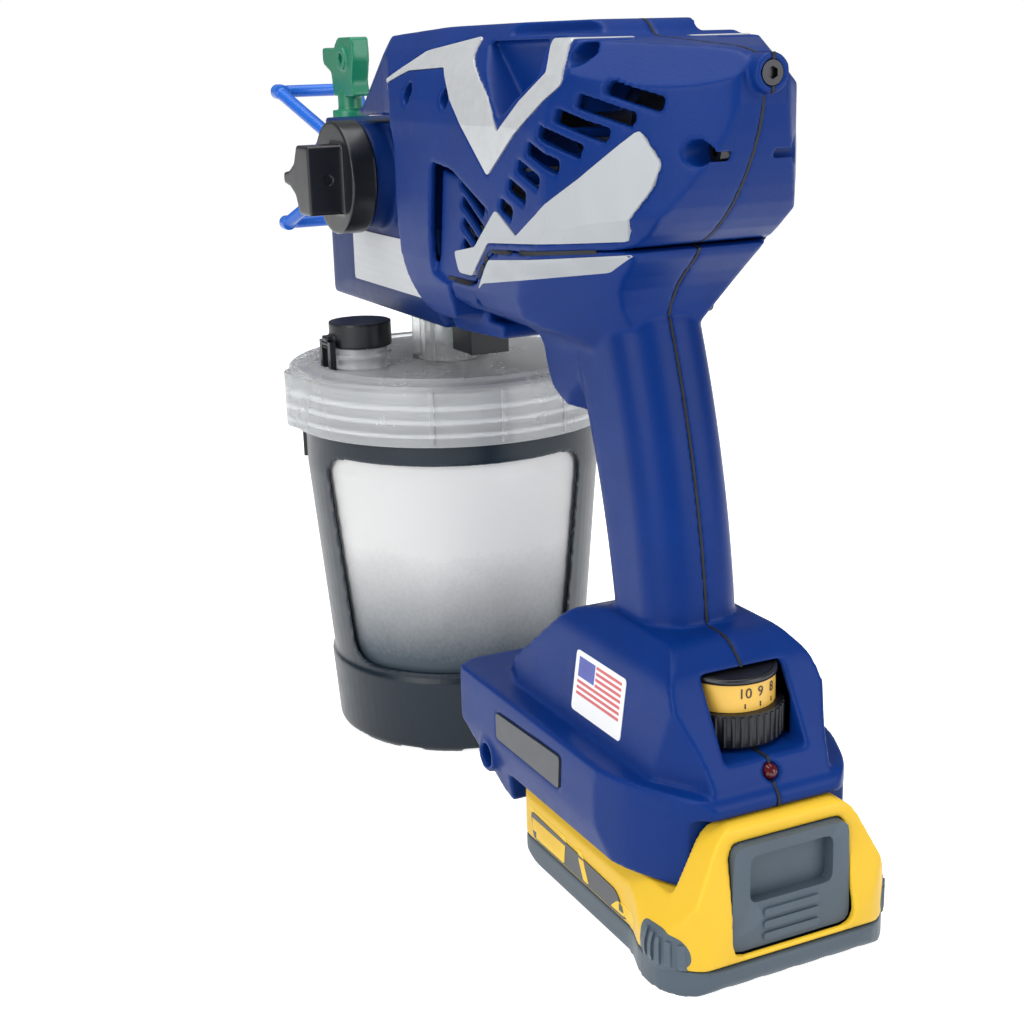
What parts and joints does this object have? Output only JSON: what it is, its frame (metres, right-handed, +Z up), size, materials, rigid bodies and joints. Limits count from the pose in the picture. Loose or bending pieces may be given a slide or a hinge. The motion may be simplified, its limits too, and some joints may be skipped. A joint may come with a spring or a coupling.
{
  "type": "airless paint sprayer",
  "caption": "Hand-held airless paint sprayer: clamshell body with pump, prime knob, turning tip guard, trigger grip, speed wheel, slide-on battery and screw-on cup.",
  "frame": {"origin": "centre of the battery's bottom face, on the plane that the battery and the cup stand on", "axes": "+X along the spray axis, forwards; +Y to the operator's left; +Z up"},
  "size_m": [0.3907, 0.135, 0.281],
  "materials": {
    "blue_plastic": "satin moulded",
    "cover_blue": "satin moulded",
    "silver_trim": "satin silver",
    "panel_grey": "matt silver grey",
    "black_plastic": "satin moulded",
    "steel": "machined",
    "dark_steel": "blackened",
    "pump_metal": "machined",
    "bronze": "sintered",
    "contact_brass": "bright",
    "clear_plastic": "translucent, frosted",
    "lid_plastic": "translucent, frosted",
    "guard_blue": "gloss moulded",
    "tip_green": "gloss moulded",
    "seal_rubber": "soft",
    "gasket_rubber": "soft",
    "band_gold": "printed",
    "lamp_red": "clear red",
    "battery_yellow": "satin moulded",
    "battery_grey": "fine textured",
    "board_green": "coated board",
    "cell_wrap": "shrink wrap",
    "label_black": "printed film",
    "label_silver": "brushed film"
  },
  "bodies": {
    "gun": {"housing_left": "blue_plastic", "housing_right": "blue_plastic", "trim_left": "silver_trim", "trim_right": "silver_trim", "panel_left": "panel_grey", "panel_right": "panel_grey", "handle_left": "blue_plastic", "handle_right": "blue_plastic", "pump_cover": "cover_blue", "cover_labels": "label_silver", "pump_block": "pump_metal", "outlet_valve": "steel", "inlet_nut": "clear_plastic", "inlet_block": "black_plastic", "siphon_tube": "clear_plastic", "suction_filter": "clear_plastic", "motor": "steel", "gear_case": "black_plastic", "rear_screw": "dark_steel", "case_screws": "dark_steel", "trigger_pin": "steel", "trigger_switch": "black_plastic", "dial_post": "steel", "control_board": "board_green", "terminal_block": "black_plastic", "terminal_blades": "contact_brass", "led_lens": "lamp_red", "rating_plate": "label_black", "cup_lid": "lid_plastic", "lid_gasket": "gasket_rubber", "cap_hinge": "black_plastic"},
    "battery": {"battery_tray": "battery_grey", "battery_cover": "battery_yellow", "battery_cells": "cell_wrap", "battery_contacts": "contact_brass", "battery_labels": "label_black"},
    "latch": {"battery_latch": "battery_grey"},
    "piston_1": {"piston_a": "steel"},
    "piston_2": {"piston_b": "steel"},
    "piston_3": {"piston_c": "steel"},
    "drive": {"drive_gear": "bronze", "wobble_plate": "steel"},
    "pinion": {"motor_pinion": "steel"},
    "knob": {"knob_body": "black_plastic", "valve_stem": "steel", "knob_screw": "dark_steel"},
    "guard": {"tip_guard": "guard_blue", "tip_seal": "seal_rubber"},
    "tip": {"spray_tip": "tip_green"},
    "trigger": {"trigger": "black_plastic"},
    "dial": {"speed_dial": "black_plastic", "dial_band": "band_gold"},
    "liner": {"cup_liner": "clear_plastic"},
    "cup": {"cup_support": "black_plastic", "cup_clips": "black_plastic"},
    "cap": {"valve_cap": "black_plastic"}
  },
  "joints": [
    {"name": "trigger_pull", "type": "hinge", "parent": "gun", "child": "trigger", "pos_m": [0.079, 0, 0.191], "axis": [0, 1, 0], "range_deg": [0, 10], "stiffness_Nm_per_rad": 0.5, "springref_deg": -8.59},
    {"name": "knob_turn", "type": "hinge", "parent": "gun", "child": "knob", "pos_m": [0.19, 0.04, 0.227], "axis": [0, 1, 0], "range_deg": [0, 90]},
    {"name": "guard_turn", "type": "hinge", "parent": "gun", "child": "guard", "pos_m": [0.288, 0, 0.227], "axis": [1, 0, 0], "range_deg": [-90, 90]},
    {"name": "tip_flip", "type": "hinge", "parent": "guard", "child": "tip", "pos_m": [0.288, 0, 0.227], "axis": [0, 0, 1], "range_deg": [0, 180]},
    {"name": "speed_turn", "type": "hinge", "parent": "gun", "child": "dial", "pos_m": [-0.019, 0, 0.075], "axis": [0, 0, 1], "range_deg": [0, 270]},
    {"name": "battery_slide", "type": "slide", "parent": "gun", "child": "battery", "axis": [-1, 0, 0], "range_m": [0, 0.125]},
    {"name": "latch_press", "type": "slide", "parent": "battery", "child": "latch", "axis": [1, 0, 0], "range_m": [0, 0.003], "stiffness_N_per_m": 400, "springref_m": -0.002},
    {"name": "cup_drop", "type": "slide", "parent": "gun", "child": "liner", "axis": [0, 0, -1], "range_m": [0, 0.16]},
    {"name": "cup_twist", "type": "hinge", "parent": "liner", "child": "cup", "pos_m": [0.188, 0, 0.06], "axis": [0, 0, 1], "range_deg": [0, 90]},
    {"name": "cap_flip", "type": "hinge", "parent": "gun", "child": "cap", "pos_m": [0.19, 0.0515, 0.163], "axis": [-1, 0, 0], "range_deg": [0, 100]},
    {"name": "drive_spin", "type": "hinge", "parent": "gun", "child": "drive", "pos_m": [0.07, 0, 0.227], "axis": [1, 0, 0], "continuous": true},
    {"name": "pinion_spin", "type": "hinge", "parent": "gun", "child": "pinion", "pos_m": [0.06, 0, 0.249], "axis": [1, 0, 0], "continuous": true},
    {"name": "piston_1_stroke", "type": "slide", "parent": "gun", "child": "piston_1", "axis": [1, 0, 0], "range_m": [0, 0.004], "stiffness_N_per_m": 300, "springref_m": -0.002},
    {"name": "piston_2_stroke", "type": "slide", "parent": "gun", "child": "piston_2", "axis": [1, 0, 0], "range_m": [0, 0.004], "stiffness_N_per_m": 300, "springref_m": -0.002},
    {"name": "piston_3_stroke", "type": "slide", "parent": "gun", "child": "piston_3", "axis": [1, 0, 0], "range_m": [0, 0.004], "stiffness_N_per_m": 300, "springref_m": -0.002}
  ],
  "couplings": [
    {"joint": "pinion_spin", "follows": "drive_spin", "ratio": -4.5}
  ]
}
